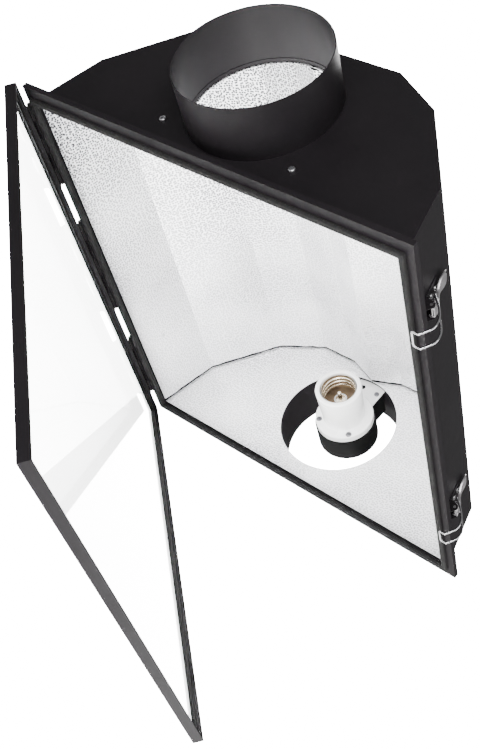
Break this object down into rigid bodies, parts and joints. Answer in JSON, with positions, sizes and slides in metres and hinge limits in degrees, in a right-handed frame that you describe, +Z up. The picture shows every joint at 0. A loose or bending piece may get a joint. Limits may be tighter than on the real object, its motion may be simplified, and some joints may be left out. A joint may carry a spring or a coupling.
{
  "type": "air-cooled lamp reflector hood",
  "caption": "Air-cooled reflector hood with a hinged glass door, two draw latches, end duct collars, a dimpled liner and a screw lamp socket.",
  "frame": {"origin": "centre of the rectangle of four hanging holes, on the top face of the raised tabs", "axes": "+X from the hinge side to the latch side, +Y from the inlet collar to the lamp socket end, +Z up, away from the glass door"},
  "size_m": [0.4874, 0.612, 0.5173],
  "materials": {
    "black_powder": "semi-gloss black powder coat",
    "cover_black": "matt black powder coat",
    "gland_nylon": "black nylon",
    "gasket_foam": "closed-cell black foam",
    "silicone_black": "black silicone",
    "dimpled_aluminium": "hammered bright reflector sheet",
    "rivet_aluminium": "satin",
    "porcelain": "glazed white",
    "thread_brass": "nickel-plated brass",
    "bracket_zinc": "white painted steel",
    "screw_steel": "zinc plated",
    "latch_zinc": "bright nickel plated",
    "bail_wire": "bright nickel plated wire",
    "pin_steel": "plain steel",
    "door_glass": "clear tempered float glass"
  },
  "bodies": {
    "root": {"outer_shell": "black_powder", "end_plate_inlet": "black_powder", "end_plate_socket": "black_powder", "duct_collar_inlet": "black_powder", "duct_collar_socket": "black_powder", "mouth_frame": "black_powder", "hanger_tab_1": "black_powder", "hanger_tab_2": "black_powder", "hanger_tab_3": "black_powder", "hanger_tab_4": "black_powder", "latch_base_1": "black_powder", "latch_base_2": "black_powder", "hinge_frame_leaf_1": "black_powder", "hinge_frame_leaf_2": "black_powder", "hinge_frame_leaf_3": "black_powder", "wire_cover": "cover_black", "cord_gland": "gland_nylon", "frame_gasket": "gasket_foam", "reflector_liner": "dimpled_aluminium", "liner_end_inlet": "dimpled_aluminium", "liner_end_socket": "dimpled_aluminium", "liner_rivets": "rivet_aluminium", "hanger_rivets": "rivet_aluminium", "latch_rivets": "rivet_aluminium", "socket_body": "porcelain", "screw_shell": "thread_brass", "centre_contact": "thread_brass", "contact_terminal": "thread_brass", "shell_terminal": "thread_brass", "socket_bracket": "bracket_zinc", "end_plate_screws": "screw_steel", "socket_screws": "screw_steel", "bracket_screws": "screw_steel", "earth_screw": "screw_steel", "hinge_pin_1": "pin_steel", "hinge_pin_2": "pin_steel", "hinge_pin_3": "pin_steel", "latch_pivot_1": "pin_steel", "latch_pivot_2": "pin_steel"},
    "door": {"door_frame": "black_powder", "door_glass": "door_glass", "glass_seal": "silicone_black", "glass_bead": "silicone_black", "hinge_door_leaf_1": "black_powder", "hinge_door_leaf_2": "black_powder", "hinge_door_leaf_3": "black_powder"},
    "lever_1": {"latch_lever_1": "latch_zinc"},
    "lever_2": {"latch_lever_2": "latch_zinc"},
    "bail_1": {"latch_bail_1": "bail_wire"},
    "bail_2": {"latch_bail_2": "bail_wire"}
  },
  "joints": [
    {"name": "door_hinge", "type": "hinge", "parent": "root", "child": "door", "pos_m": [-0.2406, 0, -0.1959], "axis": [0, 1, 0], "range_deg": [-40.9, 79.1]},
    {"name": "lever_1_pivot", "type": "hinge", "parent": "root", "child": "lever_1", "pos_m": [0.22499, -0.163, -0.17783], "axis": [0, 1, 0], "range_deg": [0, 115]},
    {"name": "bail_1_swing", "type": "hinge", "parent": "lever_1", "child": "bail_1", "pos_m": [0.22198, -0.163, -0.16827], "axis": [0, 1, 0], "range_deg": [-150, 0]},
    {"name": "lever_2_pivot", "type": "hinge", "parent": "root", "child": "lever_2", "pos_m": [0.22499, 0.157, -0.17783], "axis": [0, 1, 0], "range_deg": [0, 115]},
    {"name": "bail_2_swing", "type": "hinge", "parent": "lever_2", "child": "bail_2", "pos_m": [0.22198, 0.157, -0.16827], "axis": [0, 1, 0], "range_deg": [-150, 0]}
  ],
  "couplings": [
    {"joint": "bail_1_swing", "follows": "lever_1_pivot", "ratio": -1.3},
    {"joint": "bail_2_swing", "follows": "lever_2_pivot", "ratio": -1.3}
  ]
}
